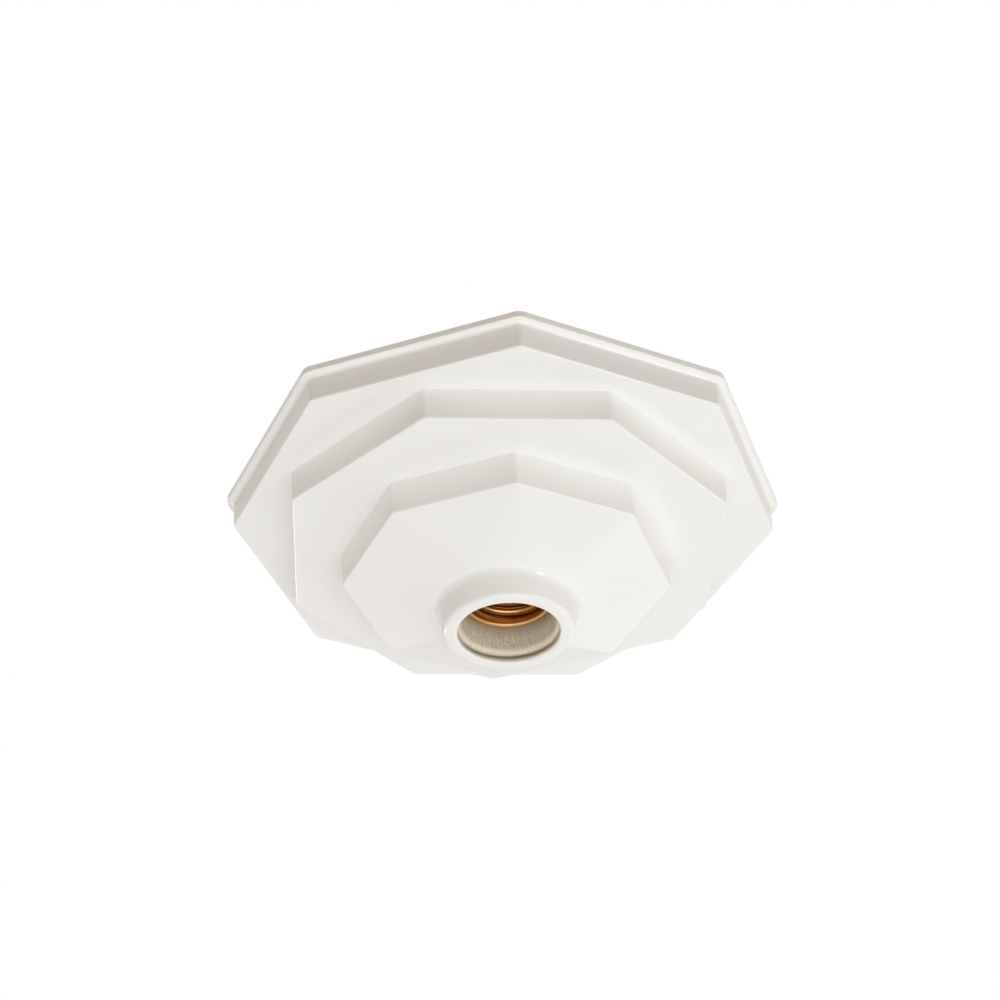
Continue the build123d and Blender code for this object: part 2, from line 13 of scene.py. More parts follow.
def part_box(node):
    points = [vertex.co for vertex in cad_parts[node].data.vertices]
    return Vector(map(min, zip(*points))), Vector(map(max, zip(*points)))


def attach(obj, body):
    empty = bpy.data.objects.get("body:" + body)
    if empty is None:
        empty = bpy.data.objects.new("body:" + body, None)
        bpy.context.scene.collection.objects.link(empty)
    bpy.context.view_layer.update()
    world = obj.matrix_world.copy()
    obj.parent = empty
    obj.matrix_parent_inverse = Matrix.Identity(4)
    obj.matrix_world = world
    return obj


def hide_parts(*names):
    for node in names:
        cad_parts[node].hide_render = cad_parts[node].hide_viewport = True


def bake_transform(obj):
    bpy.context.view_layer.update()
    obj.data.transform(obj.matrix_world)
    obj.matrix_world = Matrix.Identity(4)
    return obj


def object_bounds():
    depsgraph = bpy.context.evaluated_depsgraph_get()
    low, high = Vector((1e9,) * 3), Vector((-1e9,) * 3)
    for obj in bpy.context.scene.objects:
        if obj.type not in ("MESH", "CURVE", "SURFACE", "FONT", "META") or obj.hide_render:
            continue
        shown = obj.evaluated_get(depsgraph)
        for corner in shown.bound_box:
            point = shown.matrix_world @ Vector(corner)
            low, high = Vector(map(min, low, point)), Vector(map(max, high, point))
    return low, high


bl_info = {
    "name": "Ceiling lamp holder",
    "version": (1, 0, 0),
    "blender": (4, 5, 0),
    "location": "View3D > Sidebar > Lamp holder",
    "description": "Finishes and detail meshes of a stepped ceiling lamp holder",
    "category": "Add Mesh",
}

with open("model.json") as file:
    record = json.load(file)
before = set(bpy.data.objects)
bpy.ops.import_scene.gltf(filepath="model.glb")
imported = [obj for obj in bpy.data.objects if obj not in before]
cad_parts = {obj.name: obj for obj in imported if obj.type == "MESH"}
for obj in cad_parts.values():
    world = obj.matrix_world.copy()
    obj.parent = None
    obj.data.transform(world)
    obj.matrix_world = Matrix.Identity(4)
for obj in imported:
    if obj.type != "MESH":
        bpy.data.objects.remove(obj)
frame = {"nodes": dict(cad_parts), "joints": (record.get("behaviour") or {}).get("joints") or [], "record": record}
CAD_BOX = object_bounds()
MM = 0.001
FULL_TURN = 2 * math.pi
X_AXIS = (1, 0, 0)
Y_AXIS = (0, 1, 0)
Z_AXIS = (0, 0, 1)
WHITE = (1, 1, 1)

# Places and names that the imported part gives
SHELL_LOW, SHELL_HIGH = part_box("screw_shell")
LEAF_LOW, LEAF_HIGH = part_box("centre_contact")
PORCELAIN_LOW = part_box("porcelain_body")[0]
COLLAR_END_Z = CAD_BOX[0].z
JOINTS = {joint["name"]: joint for joint in frame["joints"]}
LEAF_BEND = Vector(JOINTS["contact_flex"]["pos_m"])
MOUNTS = {mount["name"]: mount for mount in frame["record"]["mounts"]}
THREAD_CREST_R = MOUNTS["lamp_socket"]["dims"]["r_mm"] * MM
WIRE_SCREW_BODIES = {"shell_wire_screw": "shell_clamp", "contact_wire_screw": "contact_clamp"}
FLOOR_SCREWS = ("shell_screw_left", "shell_screw_right", "contact_screw")
TAPPING_SCREWS = ("holder_screw_left", "holder_screw_right", "bar_screw_left", "bar_screw_right")

# How finely the meshes are made
MERGE_DISTANCE = 0.001 * MM
CUT_TOLERANCE = 0.0001 * MM
SHARP_ANGLE = math.radians(40)
BEND_SEGMENTS = 6
FOLD_SEGMENTS = 5
SHELL_STEPS = 128
SHELL_ROWS_PER_TURN = 16
SCREW_STEPS = 36
SCREW_ROWS_PER_TURN = 8
DOME_ROWS = 9

# Power of a screw head's curve
DOME_POWER = 4

# Shapes as shares of a size
HEAD_EDGE_SHARE = 0.4
RECESS_FLOOR_SHARE = 0.5
RECESS_REACH_SHARE = 0.55
RECESS_TAPER = 0.7
POINT_SHARE = 0.2
SCREW_THREAD_DEPTH = 0.32
SCREW_THREAD_LEAD = 0.6
SCREW_NECK = 0.3
SHELL_THREAD_LEAD = 0.55
SHELL_THREAD_START = 0.45
FLARE_ROUNDING = 0.9


def length(name, description, default):
    """A size in metres that a user can change."""
    return bpy.props.FloatProperty(name=name, description=description, default=default, min=0, unit="LENGTH")


def share(name, description, default):
    """A plain factor that a user can change."""
    return bpy.props.FloatProperty(name=name, description=description, default=default, min=0)


def angle(name, description, degrees):
    """An angle that a user can change."""
    radians = math.radians(degrees)
    return bpy.props.FloatProperty(name=name, description=description, default=radians, subtype="ANGLE")


def power(name, description, default):
    """A lamp's power in watts that a user can change."""
    return bpy.props.FloatProperty(name=name, description=description, default=default, min=0, unit="POWER")


def colour(name, description, default):
    """A linear colour that a user can change."""
    return bpy.props.FloatVectorProperty(
        name=name, description=description, default=default, min=0, max=1, subtype="COLOR"
    )


class CanopySettings(bpy.types.PropertyGroup):
    """Finish of the moulded canopy."""

    white: colour("White", "Colour of the moulded plastic", (0.90, 0.893, 0.87))
    warm_white: colour("Warm white", "Colour of its slightly yellower patches", (0.89, 0.876, 0.845))
    gloss: share("Gloss roughness", "Roughness of its smoothest patches", 0.1)
    dull: share("Dull roughness", "Roughness of its dullest patches", 0.16)
    # The colour and the reach set below paint shade and a brown reflection of the porcelain into the gap inside
    # the lip.
    lip_shade_colour: colour("Grime", "Colour of the dirt that gathers inside the lip", (0.50, 0.41, 0.28))
    lip_shade_start: share("Grime start", "Where the dirt begins, as a share of the lip's thickness", 0.35)
    lip_shade_full: share("Grime full", "Where it is thickest, as a share of the lip's thickness", 0.9)
    mouth: length("Mouth", "Radius of the hole in the lip", 15.9 * MM)
    # How far that painted shade reaches past the hole's wall.
    mouth_blend: length("Mouth blend", "How far the dirt reaches beyond the hole's wall", 0.3 * MM)
    lip: length("Lip", "Thickness of the lip", 1.8 * MM)


class PorcelainSettings(bpy.types.PropertyGroup):
    """Finish of the porcelain body."""

    rim: colour("Rim", "Colour of the rubbed front rim", (0.78, 0.69, 0.54))
    biscuit: colour("Biscuit", "Colour of the unglazed walls", (0.93, 0.88, 0.73))
    # Painted reflection of the brass with painted shade: tan on the bore's wall near the shell.
    tan: colour("Tan", "Colour of the bore's wall beside the brass", (0.52, 0.41, 0.19))
    stain: colour("Stain", "Colour of the streaks and grains", (0.42, 0.34, 0.23))
    rim_height: length("Rim height", "How far the rubbed rim reaches into the bore", 1.9 * MM)
    blend: length("Blend", "How far the colours run into each other", 0.7 * MM)
    bore: length("Bore", "Radius of the bore", 14.6 * MM)
    # Where that painted shade and reflection begins.
    shade_and_reflection_start: share("Tan start", "Where the tan begins, on the way from the rim to the brass", 0.4)
    streaks: share("Streaks", "Strength of the drawn streaks", 0.45)
    grains: share("Grains", "Strength of the dark grains", 0.85)
    rim_marks: share("Rim marks", "Share of both that shows on the rubbed rim", 0.35)
    rim_rough: share("Rim roughness", "Roughness of the rubbed rim", 0.36)
    wall_rough: share("Wall roughness", "Roughness of the walls", 0.7)


class ShellSettings(bpy.types.PropertyGroup):
    """Size and finish of the rolled screw shell."""

    pitch: length("Pitch", "Rise of the thread in one turn", 3.629 * MM)
    turns: bpy.props.IntProperty(name="Turns", description="Turns of the thread", default=5, min=1)
    depth: length("Depth", "Depth of the thread from crest to root", 1.1 * MM)
    sheet: length("Sheet", "Thickness of the brass", 0.4 * MM)
    rim_height: length("Rim height", "From the rim to the first turn", 2.0 * MM)
    flare: length("Flare", "Height of the flared edge", 0.4 * MM)
    foot_bend: length("Foot bend", "Rounding between wall and floor", 1.2 * MM)
    floor_hole: length("Floor hole", "Radius of the hole in its floor", 6.9 * MM)
    notch: length("Notch", "Width of the notch for the centre contact", 11.0 * MM)
    # Partly real wear and tarnish, partly painted light: the bright brass gives painted highlights on the crests
    # and the rim's edge, the brown a painted dark reflection in the roots.
    bright: colour("Bright brass", "Colour of the rubbed crests and rim", (0.62, 0.38, 0.14))
    brown_tarnish_and_shade: colour("Brown brass", "Colour of the tarnished roots", (0.22, 0.053, 0.008))
    # The two below set the width of the painted highlight on each crest and on the rim's edge, which also stands
    # for wear.
    rubbed: share("Rubbed", "Share of the thread's depth that is rubbed bright", 0.08)
    highlit_rim_edge: length("Rim edge", "Height of the rubbed edge of the rim", 0.1 * MM)
    rim_tarnish: share("Rim tarnish", "Tarnish that is left on that edge", 0.35)
    thin_tarnish: share("Thin tarnish", "Tarnish in the thinnest patches of the roots", 0.93)
    bright_rough: share("Bright roughness", "Roughness of the bright brass", 0.22)
    brown_rough: share("Brown roughness", "Roughness of the tarnish", 0.6)


class LeafSettings(bpy.types.PropertyGroup):
    """Size and finish of the sprung centre contact."""

    sheet: length("Sheet", "Thickness of the bronze", 0.5 * MM)
    run: length("Run", "From the bend to the peak, along the leaf's direction", 6.8 * MM)
    rise: length("Rise", "From the bend to the peak, towards the lamp", 5.6 * MM)
    curl_run: length("Curl run", "Reach of the curled tip beyond the peak", 3.4 * MM)
    curl_drop: length("Curl drop", "How far the tip curls back", 1.5 * MM)
    bend: length("Bend", "How far each bend reaches along the leaf", 1.0 * MM)
    corner: length("Corner", "Rounding of its corners", 1.6 * MM)
    bright: colour("Bright bronze", "Colour of the rubbed patches", (0.78, 0.50, 0.27))
    dull: colour("Dull bronze", "Colour of the duller patches", (0.58, 0.34, 0.17))
    bright_rough: share("Bright roughness", "Roughness of the rubbed patches", 0.22)
    dull_rough: share("Dull roughness", "Roughness of the duller patches", 0.36)


class ScrewSettings(bpy.types.PropertyGroup):
    """Sizes and finish of the three kinds of screw."""

    floor_shank: length("Floor screw", "Radius of a floor screw's shank", 1.45 * MM)
    floor_head: length("Floor head", "Height of a floor screw's head", 1.6 * MM)
    floor_pitch: length("Floor pitch", "Pitch of a floor screw's thread", 0.5 * MM)
    wire_shank: length("Wire screw", "Radius of a wire screw's shank", 1.95 * MM)
    wire_head: length("Wire head", "Height of a wire screw's head", 2.3 * MM)
    wire_pitch: length("Wire pitch", "Pitch of a wire screw's thread", 0.7 * MM)
    tapping_shank: length("Tapping screw", "Radius of a tapping screw's shank", 1.8 * MM)
    tapping_head: length("Tapping head", "Height of a tapping screw's head", 2.2 * MM)
    tapping_pitch: length("Tapping pitch", "Pitch of a tapping screw's thread", 1.4 * MM)
    tapping_point: length("Tapping point", "Length of a tapping screw's point", 2.6 * MM)
    blunt_point: length("End", "Length of the chamfered end of the other screws", 0.4 * MM)
    drive: length("Drive", "Width of the slots and cross recesses", 0.8 * MM)
    bright: colour("Bright zinc", "Colour of the brighter plating", (0.70, 0.71, 0.72))
    dull: colour("Dull zinc", "Colour of the duller plating", (0.55, 0.56, 0.56))
    bright_rough: share("Bright roughness", "Roughness of the brighter plating", 0.24)
    dull_rough: share("Dull roughness", "Roughness of the duller plating", 0.4)


class TerminalSettings(bpy.types.PropertyGroup):
    """Finish of the two terminal plates."""

    bright: colour("Bright brass", "Colour of the brighter patches", (0.80, 0.56, 0.25))
    dull: colour("Dull brass", "Colour of the duller patches", (0.62, 0.40, 0.17))
    bright_rough: share("Bright roughness", "Roughness of the brighter patches", 0.25)
    dull_rough: share("Dull roughness", "Roughness of the duller patches", 0.42)


class BarSettings(bpy.types.PropertyGroup):
    """Finish of the galvanised mounting bar."""

    dark: colour("Dark zinc", "Colour of the darkest crystals", (0.53, 0.55, 0.56))
    pale: colour("Pale zinc", "Colour of the palest crystals", (0.66, 0.68, 0.69))
    grain: share("Grain", "Share of the shade that is fine grain", 0.25)
    smooth: share("Smooth roughness", "Roughness of the smoothest crystals", 0.34)
    rough: share("Rough roughness", "Roughness of the roughest crystals", 0.48)


class FibreSettings(bpy.types.PropertyGroup):
    """Finish of the pressed fibre washers."""

    red: colour("Red", "Colour of the fibre", (0.36, 0.085, 0.045))
    dark_red: colour("Dark red", "Colour of its darker patches", (0.26, 0.055, 0.035))
    thread: colour("Thread", "Colour of the threads in it", (0.5, 0.2, 0.12))
    body_rough: share("Body roughness", "Roughness of the fibre", 0.6)
    thread_rough: share("Thread roughness", "Roughness of the threads", 0.8)


class StageSettings(bpy.types.PropertyGroup):
    """Camera, lamps and floor."""

    elevation: angle("Elevation", "How far below the ceiling the camera looks up from", 38.36)
    spin: angle("Spin", "How far the camera stands round to the left", 4.20)
    roll: angle("Roll", "How far the camera is tipped to the right", -2.12)
    distance: length("Distance", "From the camera to the ceiling's centre", 0.7188)
    aim_left: length("Aim", "How far to the left of the centre the camera aims", 1.3 * MM)
    lens: bpy.props.FloatProperty(name="Lens", description="Focal length", default=80.26, unit="CAMERA")
    floor_depth: length("Floor", "Depth of the floor below the ceiling", 2.4)
    floor_reach: length("Floor reach", "From the floor's centre to its edges", 8.0)
    floor_pale: colour("Pale floor", "Colour of the floor", (0.86, 0.86, 0.85))
    floor_grey: colour("Grey floor", "Colour of its greyer patches", (0.83, 0.83, 0.82))
    floor_glow: colour("Floor glow", "What makes the floor pale to the camera alone", (0.61, 0.64, 0.68))
    lamp_distance: length("Lamp distance", "From each lamp to the ceiling's centre", 1.3)
    lamp_height: length("Lamp height", "Height of the five large lamps", 1.4)
    key_width: length("Key width", "Width of the lamps above and below", 1.4)
    side_width: length("Side width", "Width of the three lamps around", 3.0)
    glint_width: length("Glint width", "Width of the two small lamps that only glint", 0.2)
    key: power("Key lamp", "Lamp below and in front", 10.1)
    right: power("Right lamp", "Lamp low on the near right", 7.2)
    far_right: power("Far right lamp", "Lamp low on the far right", 6.6)
    far_left: power("Far left lamp", "Lamp low on the far left", 6.8)
    top: power("Top lamp", "Lamp above the ceiling", 12.0)
    left_glint: power("Left glint", "Small lamp on the far left", 1.5)
    right_glint: power("Right glint", "Small lamp on the near right", 1.5)
    lamp_tint: colour("Lamp tint", "Colour of the lamps", (0.91, 0.97, 1.0))
    ambient: share("Ambient", "Light from all around", 0.29)
    ambient_tint: colour("Ambient tint", "Colour of the light from all around", (1.0, 0.77, 0.6))


class LampHolderSettings(bpy.types.PropertyGroup):
    """All that can be set on the lamp holder."""

    canopy: bpy.props.PointerProperty(type=CanopySettings)
    porcelain: bpy.props.PointerProperty(type=PorcelainSettings)
    shell: bpy.props.PointerProperty(type=ShellSettings)
    leaf: bpy.props.PointerProperty(type=LeafSettings)
    screws: bpy.props.PointerProperty(type=ScrewSettings)
    terminals: bpy.props.PointerProperty(type=TerminalSettings)
    bar: bpy.props.PointerProperty(type=BarSettings)
    fibre: bpy.props.PointerProperty(type=FibreSettings)
    stage: bpy.props.PointerProperty(type=StageSettings)


# Shader trees

def add(tree, kind, inputs=None, **settings):
    """A new node with its settings, whose named inputs take a value or a link from another node."""
    node = tree.nodes.new(kind)
    for key, value in settings.items():
        setattr(node, key, value)
    for key, value in (inputs or {}).items():
        if isinstance(value, bpy.types.NodeSocket):
            tree.links.new(value, node.inputs[key])
        else:
            node.inputs[key].default_value = value
    return node


def calculate(tree, operation, first, second=0.0):
    """Output of one sum on two numbers or links."""
    return add(tree, "ShaderNodeMath", {0: first, 1: second}, operation=operation).outputs[0]


def remap(tree, value, low, high, to_low=0.0, to_high=1.0):
    """Value stretched from one range to another and held at its ends."""
    inputs = {"Value": value, "From Min": low, "From Max": high, "To Min": to_low, "To Max": to_high}
    return add(tree, "ShaderNodeMapRange", inputs).outputs["Result"]


def blend_colours(tree, factor, first, second):
    """Mix of two colours, each a link or three numbers."""
    node = add(tree, "ShaderNodeMix", {0: factor}, data_type="RGBA")
    for socket, value in ((node.inputs[6], first), (node.inputs[7], second)):
        if isinstance(value, bpy.types.NodeSocket):
            tree.links.new(value, socket)
        else:
            socket.default_value = (*value, 1)
    return node.outputs[2]


def place_of(tree):
    """The shaded point's place in the part's frame."""
    return add(tree, "ShaderNodeTexCoord").outputs["Object"]


def round_place_of(tree):
    """The shaded point's distance from the Z axis and its height."""
    parts = add(tree, "ShaderNodeSeparateXYZ", {0: place_of(tree)}).outputs
    across = add(tree, "ShaderNodeCombineXYZ", {"X": parts["X"], "Y": parts["Y"]}).outputs[0]
    radius = add(tree, "ShaderNodeVectorMath", {0: across}, operation="LENGTH").outputs["Value"]
    return radius, parts["Z"]


def new_group(name, inputs, output):
    """Empty shader group with number inputs at their defaults and one number output."""
    group = bpy.data.node_groups.new(name, "ShaderNodeTree")
    for label, default in inputs.items():
        socket = group.interface.new_socket(label, in_out="INPUT", socket_type="NodeSocketFloat")
        socket.default_value = default
    group.interface.new_socket(output, in_out="OUTPUT", socket_type="NodeSocketFloat")
    return group


def mottle_group():
    """Soft patches over a surface, from 0 to 1."""
    name = "mottle"
    if name in bpy.data.node_groups:
        return bpy.data.node_groups[name]
    group = new_group(name, {"Scale": 40.0, "Low": 0.3, "High": 0.7, "Detail": 5.0}, "Mask")
    given = add(group, "NodeGroupInput").outputs
    inputs = {"Vector": place_of(group), "Scale": given["Scale"], "Detail": given["Detail"]}
    noise = add(group, "ShaderNodeTexNoise", inputs)
    mask = remap(group, noise.outputs["Fac"], given["Low"], given["High"])
    add(group, "NodeGroupOutput", {"Mask": mask})
    return group


def turned_group():
    """Marks that follow a body turned about Z: streaks along it, rings round it, from 0 to 1."""
    name = "turned marks"
    if name in bpy.data.node_groups:
        return bpy.data.node_groups[name]
    group = new_group(name, {"Round": 60.0, "Along": 40.0, "Low": 0.3, "High": 0.7}, "Mask")
    given = add(group, "NodeGroupInput").outputs
    parts = add(group, "ShaderNodeSeparateXYZ", {0: place_of(group)}).outputs
    turn = calculate(group, "ARCTAN2", parts["Y"], parts["X"])
    unrolled = {
        "X": calculate(group, "MULTIPLY", calculate(group, "COSINE", turn), given["Round"]),
        "Y": calculate(group, "MULTIPLY", calculate(group, "SINE", turn), given["Round"]),
        "Z": calculate(group, "MULTIPLY", parts["Z"], given["Along"]),
    }
    vector = add(group, "ShaderNodeCombineXYZ", unrolled).outputs[0]
    noise = add(group, "ShaderNodeTexNoise", {"Vector": vector, "Scale": 1.0, "Detail": 3.0})
    mask = remap(group, noise.outputs["Fac"], given["Low"], given["High"])
    add(group, "NodeGroupOutput", {"Mask": mask})
    return group


def use_group(tree, group, **values):
    """A shared group placed in a material, with its own values."""
    node = add(tree, "ShaderNodeGroup", node_tree=group)
    for label, value in values.items():
        node.inputs[label].default_value = value
    return node.outputs[0]


def new_material(name):
    """Empty material with a surface shader; gives the material, its tree and the shader."""
    material = bpy.data.materials.new(name)
    material.use_nodes = True
    tree = material.node_tree
    shader = tree.nodes["Principled BSDF"]
    return material, tree, shader


def bump(tree, shader, height, strength, depth):
    """Fine relief on a surface, depth in metres."""
    node = add(tree, "ShaderNodeBump", {"Height": height, "Strength": strength, "Distance": depth})
    tree.links.new(node.outputs["Normal"], shader.inputs["Normal"])


def cover(tree, shader, base, roughness):
    """Gives a surface its colour and its roughness, both links."""
    tree.links.new(base, shader.inputs["Base Color"])
    tree.links.new(roughness, shader.inputs["Roughness"])


def plastic(settings):
    """Glossy moulded plastic with faint patches, the slightest orange peel, and painted shade with a brown
    reflection of the porcelain inside the lip.
    """
    material, tree, shader = new_material("white plastic")
    patches = use_group(tree, mottle_group(), Scale=22.0)
    smears = use_group(tree, mottle_group(), Scale=75.0, High=0.75)
    peel = use_group(tree, mottle_group(), Scale=400.0, Low=0.2, High=0.8, Detail=0.0)
    radius, height = round_place_of(tree)
    start_z = COLLAR_END_Z + settings.lip_shade_start * settings.lip
    full_z = COLLAR_END_Z + settings.lip_shade_full * settings.lip
    in_mouth = remap(tree, radius, settings.mouth, settings.mouth + settings.mouth_blend, 1, 0)
    behind_lip = remap(tree, height, start_z, full_z)
    # Painted shade and brown reflection of the porcelain, in the gap behind the lip.
    lip_shade = calculate(tree, "MULTIPLY", in_mouth, behind_lip)
    unshaded_white = blend_colours(tree, patches, settings.white, settings.warm_white)
    base = blend_colours(tree, lip_shade, unshaded_white, settings.lip_shade_colour)
    cover(tree, shader, base, remap(tree, smears, 0, 1, settings.gloss, settings.dull))
    shader.inputs["IOR"].default_value = 1.5
    bump(tree, shader, peel, strength=0.08, depth=0.02 * MM)
    return material


def porcelain(settings):
    """Unglazed porcelain: a rubbed cream rim, and streaked, grained walls, with painted shade and a painted
    reflection of the brass in tan on the bore's wall near the shell.
    """
    material, tree, shader = new_material("porcelain")
    radius, height = round_place_of(tree)
    rim_z = PORCELAIN_LOW.z + settings.rim_height
    shade_and_reflection_z = rim_z + settings.shade_and_reflection_start * (SHELL_LOW.z - rim_z)
    in_bore = remap(tree, radius, settings.bore, settings.bore + settings.blend, 1, 0)
    by_shell = remap(tree, height, shade_and_reflection_z, SHELL_LOW.z)
    inside = remap(tree, height, rim_z - settings.blend, rim_z)
    streaks = use_group(tree, turned_group(), Round=30.0, Along=150.0, Low=0.35, High=0.65)
    grains = use_group(tree, mottle_group(), Scale=1700.0, Low=0.45)
    # Painted shade and reflection of the brass: the bore's wall turns tan towards the shell.
    shade_and_reflection_mask = calculate(tree, "MULTIPLY", in_bore, by_shell)
    walls = blend_colours(tree, shade_and_reflection_mask, settings.biscuit, settings.tan)
    body = blend_colours(tree, inside, settings.rim, walls)
    drawn = calculate(tree, "MULTIPLY", streaks, settings.streaks)
    speckled = calculate(tree, "MULTIPLY", grains, settings.grains)
    marks = calculate(tree, "MAXIMUM", drawn, speckled)
    marks = calculate(tree, "MULTIPLY", marks, remap(tree, inside, 0, 1, settings.rim_marks, 1))
    base = blend_colours(tree, marks, body, settings.stain)
    cover(tree, shader, base, remap(tree, inside, 0, 1, settings.rim_rough, settings.wall_rough))
    bump(tree, shader, marks, strength=0.5, depth=0.06 * MM)
    return material


def shell_brass(settings):
    """Rolled brass: rubbed bright with painted highlights on the thread's crests and the rim's edge, tarnished
    brown with painted dark reflection in the roots.
    """
    material, tree, shader = new_material("shell brass")
    radius, height = round_place_of(tree)
    # Bright crests and rim edge are painted highlight and wear; brown roots are painted dark reflection and
    # tarnish.
    root = remap(tree, radius, THREAD_CREST_R, THREAD_CREST_R + settings.rubbed * settings.depth)
    above_rim = remap(tree, height, SHELL_LOW.z, SHELL_LOW.z + settings.highlit_rim_edge, settings.rim_tarnish, 1)
    patches = use_group(tree, mottle_group(), Scale=260.0, Detail=1.0)
    rings = use_group(tree, turned_group(), Round=2.0, Along=9000.0)
    wear_and_shade_mask = calculate(tree, "MULTIPLY", root, above_rim)
    tarnish_and_reflection = calculate(tree, "MULTIPLY", wear_and_shade_mask, remap(tree, patches, 0, 1, settings.thin_tarnish, 1))
    base = blend_colours(tree, tarnish_and_reflection, settings.bright, settings.brown_tarnish_and_shade)
    cover(tree, shader, base, remap(tree, tarnish_and_reflection, 0, 1, settings.bright_rough, settings.brown_rough))
    shader.inputs["Metallic"].default_value = 1.0
    bump(tree, shader, rings, strength=0.04, depth=0.01 * MM)
    return material


def plated(name, settings):
    """Plated or sprung metal with soft dull patches and fine grain."""
    material, tree, shader = new_material(name)
    patches = use_group(tree, mottle_group(), Scale=330.0)
    grain = use_group(tree, mottle_group(), Scale=4200.0)
    base = blend_colours(tree, patches, settings.bright, settings.dull)
    cover(tree, shader, base, remap(tree, patches, 0, 1, settings.bright_rough, settings.dull_rough))
    shader.inputs["Metallic"].default_value = 1.0
    bump(tree, shader, grain, strength=0.2, depth=0.02 * MM)
    return material


def galvanised(settings):
    """Zinc-dipped strip: crystals of differing brightness, each with its own gloss."""
    material, tree, shader = new_material("galvanised steel")
    wander_share = 0.0015
    place = place_of(tree)
    wander = add(tree, "ShaderNodeTexNoise", {"Vector": place, "Scale": 500.0}).outputs["Color"]
    bent = add(tree, "ShaderNodeMix", {0: wander_share, 4: place, 5: wander}, data_type="VECTOR").outputs[1]
    cells = add(tree, "ShaderNodeTexVoronoi", {"Vector": bent, "Scale": 240.0}).outputs["Color"]
    crystal = add(tree, "ShaderNodeSeparateColor", {0: cells}).outputs["Red"]
    grain = use_group(tree, mottle_group(), Scale=2600.0)
    coarse = calculate(tree, "MULTIPLY", crystal, 1 - settings.grain)
    fine = calculate(tree, "MULTIPLY", grain, settings.grain)
    shade = calculate(tree, "ADD", coarse, fine)
    base = blend_colours(tree, shade, settings.dark, settings.pale)
    cover(tree, shader, base, remap(tree, crystal, 0, 1, settings.smooth, settings.rough))
    shader.inputs["Metallic"].default_value = 1.0
    bump(tree, shader, shade, strength=0.15, depth=0.03 * MM)
    return material


def fibre(settings):
    """Pressed red fibre with pale threads in it."""
    material, tree, shader = new_material("pressed fibre")
    threads = use_group(tree, mottle_group(), Scale=2400.0, Low=0.45)
    patches = use_group(tree, mottle_group(), Scale=420.0)
    body = blend_colours(tree, patches, settings.red, settings.dark_red)
    base = blend_colours(tree, threads, body, settings.thread)
    cover(tree, shader, base, remap(tree, threads, 0, 1, settings.body_rough, settings.thread_rough))
    bump(tree, shader, threads, strength=0.4, depth=0.05 * MM)
    return material


def finish_nodes(material, *names):
    """Gives CAD nodes a material."""
    for name in names:
        node = frame["nodes"][name]
        node.data.materials.clear()
        node.data.materials.append(material)


# Meshes

def piece_from(bm, name, material, replaced):
    """Turns a finished bmesh into a smooth object with a material that stands for a CAD node."""
    mesh = bpy.data.meshes.new(name)
    bm.to_mesh(mesh)
    bm.free()
    mesh.shade_smooth()
    mesh.set_sharp_from_angle(angle=SHARP_ANGLE)
    mesh.materials.append(material)
    piece = bpy.data.objects.new(name, mesh)
    bpy.context.scene.collection.objects.link(piece)
    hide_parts(replaced)
    return piece


def smooth_step(value):
    """0 to 1 with level ends."""
    held = min(max(value, 0.0), 1.0)
    return held * held * (3 - 2 * held)


def open_line(outline):
    """A bmesh that holds one open line of radius and height, with its points and edges."""
    bm = bmesh.new()
    points = [bm.verts.new((radius, 0, level)) for radius, level in outline]
    edges = [bm.edges.new(pair) for pair in zip(points, points[1:])]
    return bm, points, edges


def spin_round(bm, steps):
    """Spins a line full circle about Z and closes its seam and poles."""
    bmesh.ops.spin(
        bm, geom=bm.verts[:] + bm.edges[:], cent=(0, 0, 0), axis=Z_AXIS, dvec=(0, 0, 0),
        angle=FULL_TURN, steps=steps, use_merge=True,
    )
    bmesh.ops.remove_doubles(bm, verts=bm.verts, dist=MERGE_DISTANCE)
    bmesh.ops.recalc_face_normals(bm, faces=bm.faces)


def round_off(bm, items, kind, offset, segments):
    """Rounds points or edges off over a distance; kind is VERTICES or EDGES."""
    bmesh.ops.bevel(
        bm, geom=items, affect=kind, offset=offset, segments=segments, profile=0.5, material=-1
    )


def split_above(bm, level, normal, offset):
    """Splits the faces above a level by two planes, one on each side of the Z axis."""
    for side in (-1, 1):
        faces = [face for face in bm.faces if face.calc_center_median().z > level]
        edges = {edge for face in faces for edge in face.edges}
        bmesh.ops.bisect_plane(
            bm, geom=faces + list(edges), dist=CUT_TOLERANCE,
            plane_co=Vector(normal) * side * offset, plane_no=normal,
        )


def press_thread(bm, low_z, high_z, pitch, depth, lead):
    """Moves the wall between two levels inwards along a right-handed helix of rounded crests."""
    for vert in bm.verts:
        radius = vert.co.xy.length
        rise = vert.co.z - low_z
        if not 0 < rise < high_z - low_z or radius < depth:
            continue
        fade = smooth_step(rise / lead) * smooth_step((high_z - vert.co.z) / lead)
        turn = math.atan2(vert.co.y, vert.co.x) / FULL_TURN
        wave = 0.5 + 0.5 * math.cos(FULL_TURN * (rise / pitch - turn))
        vert.co.xy *= 1 - fade * wave * depth / radius


def looks_inward(face):
    """Whether a face of a round wall looks towards the Z axis."""
    outwards = face.calc_center_median() * Vector((1, 1, 0))
    return face.normal.dot(outwards) < 0


